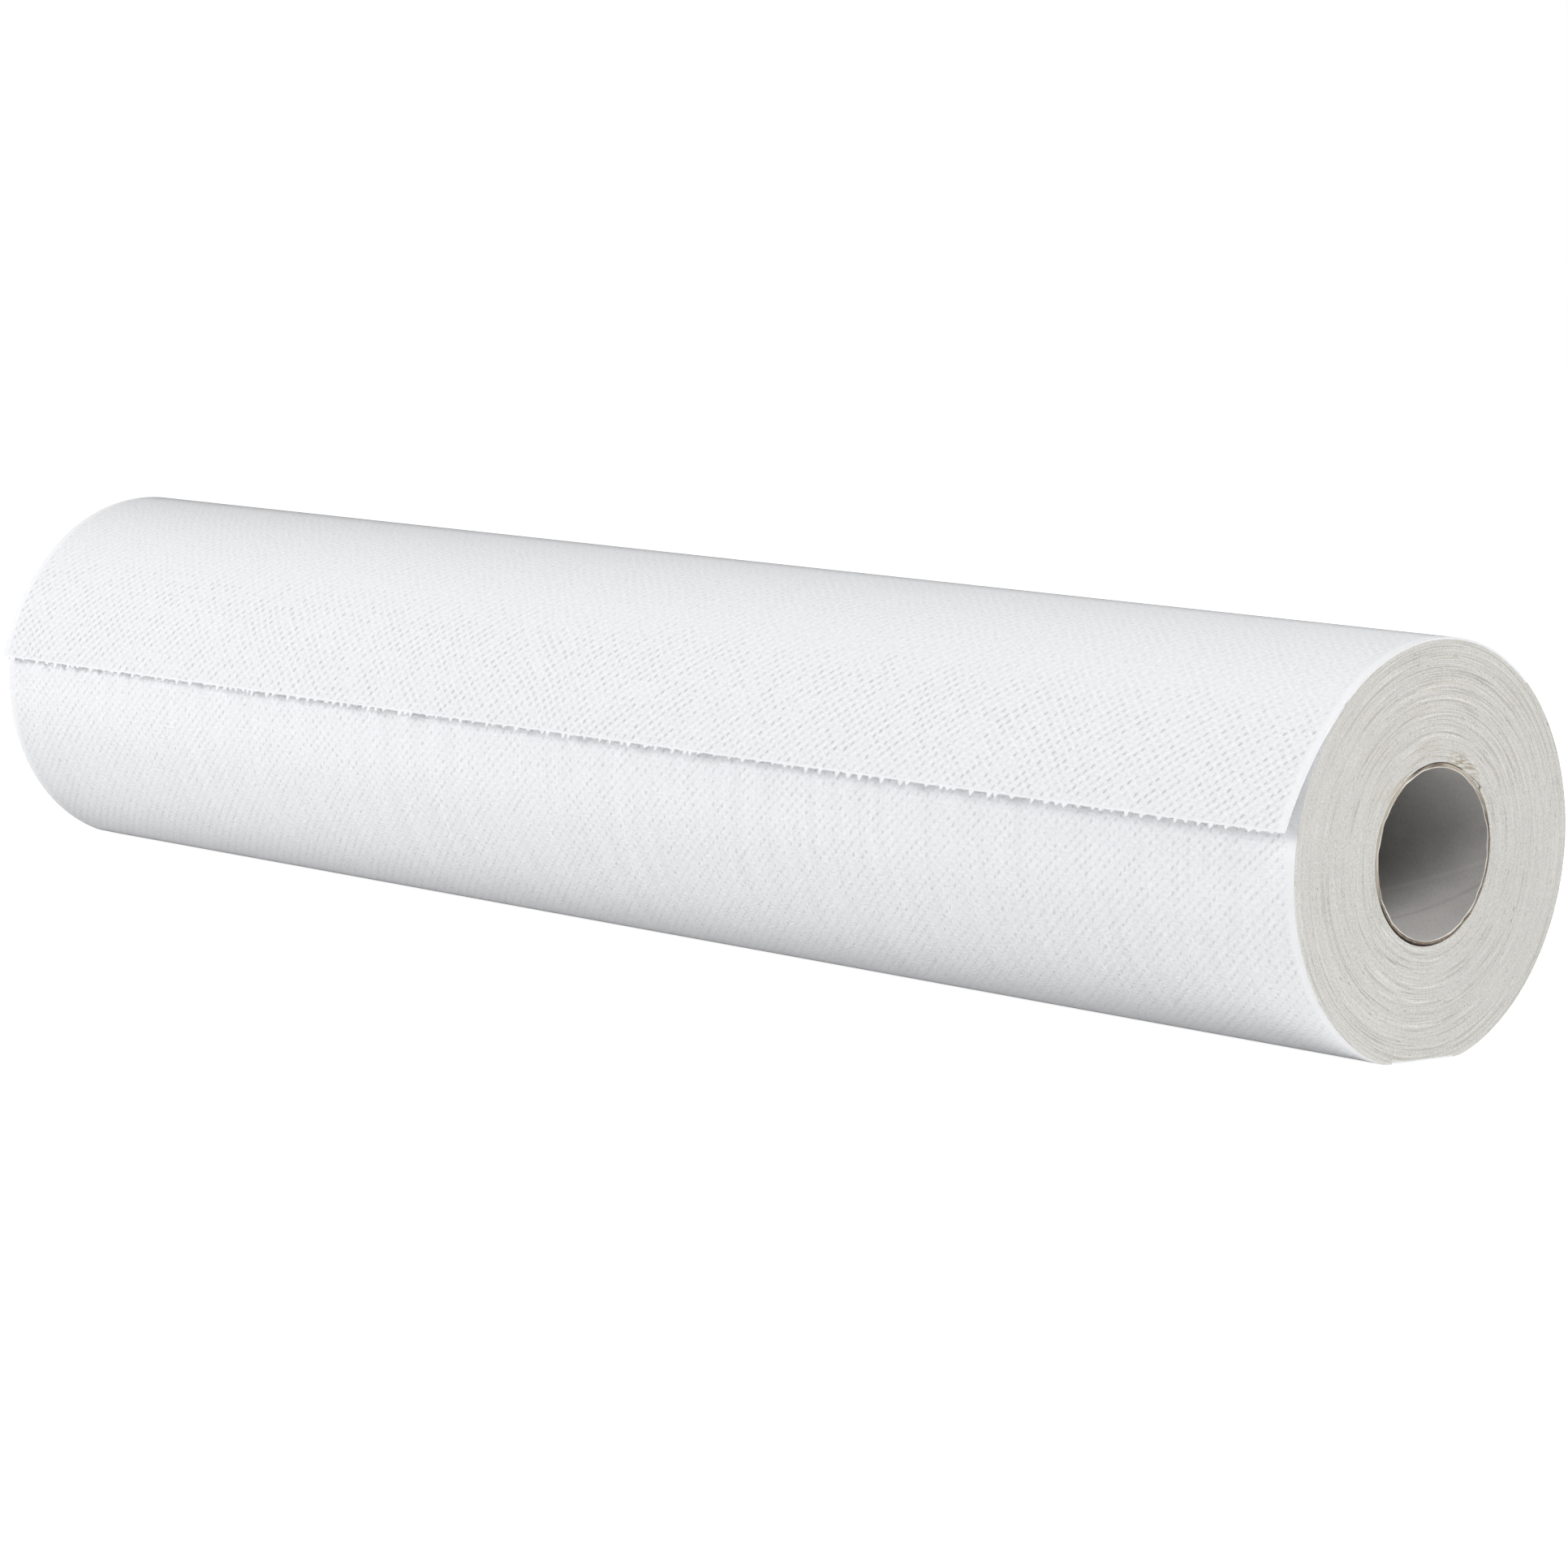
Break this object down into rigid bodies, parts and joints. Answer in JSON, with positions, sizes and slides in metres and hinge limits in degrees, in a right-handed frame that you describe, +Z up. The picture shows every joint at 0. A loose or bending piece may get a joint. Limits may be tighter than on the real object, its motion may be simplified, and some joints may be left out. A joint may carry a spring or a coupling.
{
  "type": "exam table paper roll",
  "caption": "Roll of white embossed couch paper on a board core, lying on its side with the torn end of the sheet hanging loose at the front.",
  "frame": {"origin": "on the axis of the core's bore, halfway along the roll", "axes": "+X along the roll's axis, +Z up, the loose end of the sheet hanging on the -Y side"},
  "size_m": [0.5, 0.1095, 0.1028],
  "materials": {
    "sheet_paper": "matt white crepe, embossed with fine dots",
    "core_board": "matt grey board, spiral wound"
  },
  "bodies": {
    "root": {"paper_roll": "sheet_paper", "core_tube": "core_board"}
  },
  "joints": []
}
